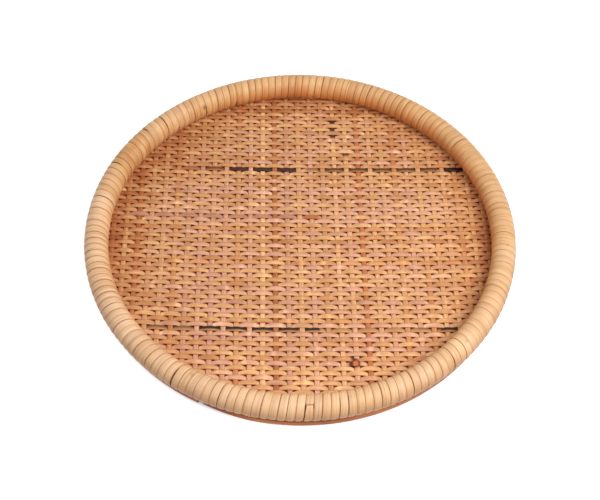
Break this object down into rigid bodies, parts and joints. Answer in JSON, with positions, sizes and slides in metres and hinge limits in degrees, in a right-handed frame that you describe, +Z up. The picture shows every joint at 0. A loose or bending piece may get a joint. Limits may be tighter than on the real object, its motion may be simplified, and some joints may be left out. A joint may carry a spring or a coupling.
{
  "type": "rattan tray",
  "caption": "Round shallow rattan tray: a plain-woven cane mat held between a rim hoop bound in flat cane and a split-rattan foot hoop.",
  "frame": {"origin": "on the surface that the foot hoop stands on, under the centre of the tray", "axes": "+Z up through the mat, +X to the right and -Y to the front of the picture's view; the warps run nearly along Y and the wefts along X"},
  "size_m": [0.35, 0.35, 0.0308],
  "materials": {
    "pole": "bare rattan pole, hidden by the binding",
    "binding_cane": "satin skin of pale honey cane",
    "weft_cane": "dry split cane, tan",
    "warp_cane": "dry split cane, light tan",
    "foot_cane": "brown split rattan, skin side out",
    "steel": "plain wire brads and pins"
  },
  "bodies": {
    "root": {"rim_core": "pole", "mat_wefts": "weft_cane", "foot_hoop": "foot_cane", "binding_cane_1": "binding_cane", "binding_cane_2": "binding_cane", "binding_cane_3": "binding_cane", "binding_cane_4": "binding_cane", "binding_cane_5": "binding_cane", "binding_cane_6": "binding_cane", "binding_cane_7": "binding_cane", "mat_warp_01": "warp_cane", "mat_warp_02": "warp_cane", "mat_warp_03": "warp_cane", "mat_warp_04": "warp_cane", "mat_warp_05": "warp_cane", "mat_warp_06": "warp_cane", "mat_warp_07": "warp_cane", "mat_warp_08": "warp_cane", "mat_warp_09": "warp_cane", "mat_warp_10": "warp_cane", "mat_warp_11": "warp_cane", "mat_warp_12": "warp_cane", "mat_warp_13": "warp_cane", "mat_warp_14": "warp_cane", "mat_warp_15": "warp_cane", "mat_warp_16": "warp_cane", "mat_warp_17": "warp_cane", "mat_warp_18": "warp_cane", "mat_warp_19": "warp_cane", "mat_warp_20": "warp_cane", "mat_warp_21": "warp_cane", "mat_warp_22": "warp_cane", "mat_warp_23": "warp_cane", "mat_warp_24": "warp_cane", "mat_warp_25": "warp_cane", "mat_warp_26": "warp_cane", "mat_warp_27": "warp_cane", "mat_warp_28": "warp_cane", "mat_warp_29": "warp_cane", "mat_warp_30": "warp_cane", "mat_warp_31": "warp_cane", "brad_01": "steel", "brad_02": "steel", "brad_03": "steel", "brad_04": "steel", "brad_05": "steel", "brad_06": "steel", "brad_07": "steel", "brad_08": "steel", "brad_09": "steel", "brad_10": "steel", "brad_11": "steel", "brad_12": "steel", "scarf_pin_1": "steel", "scarf_pin_2": "steel"}
  },
  "joints": []
}
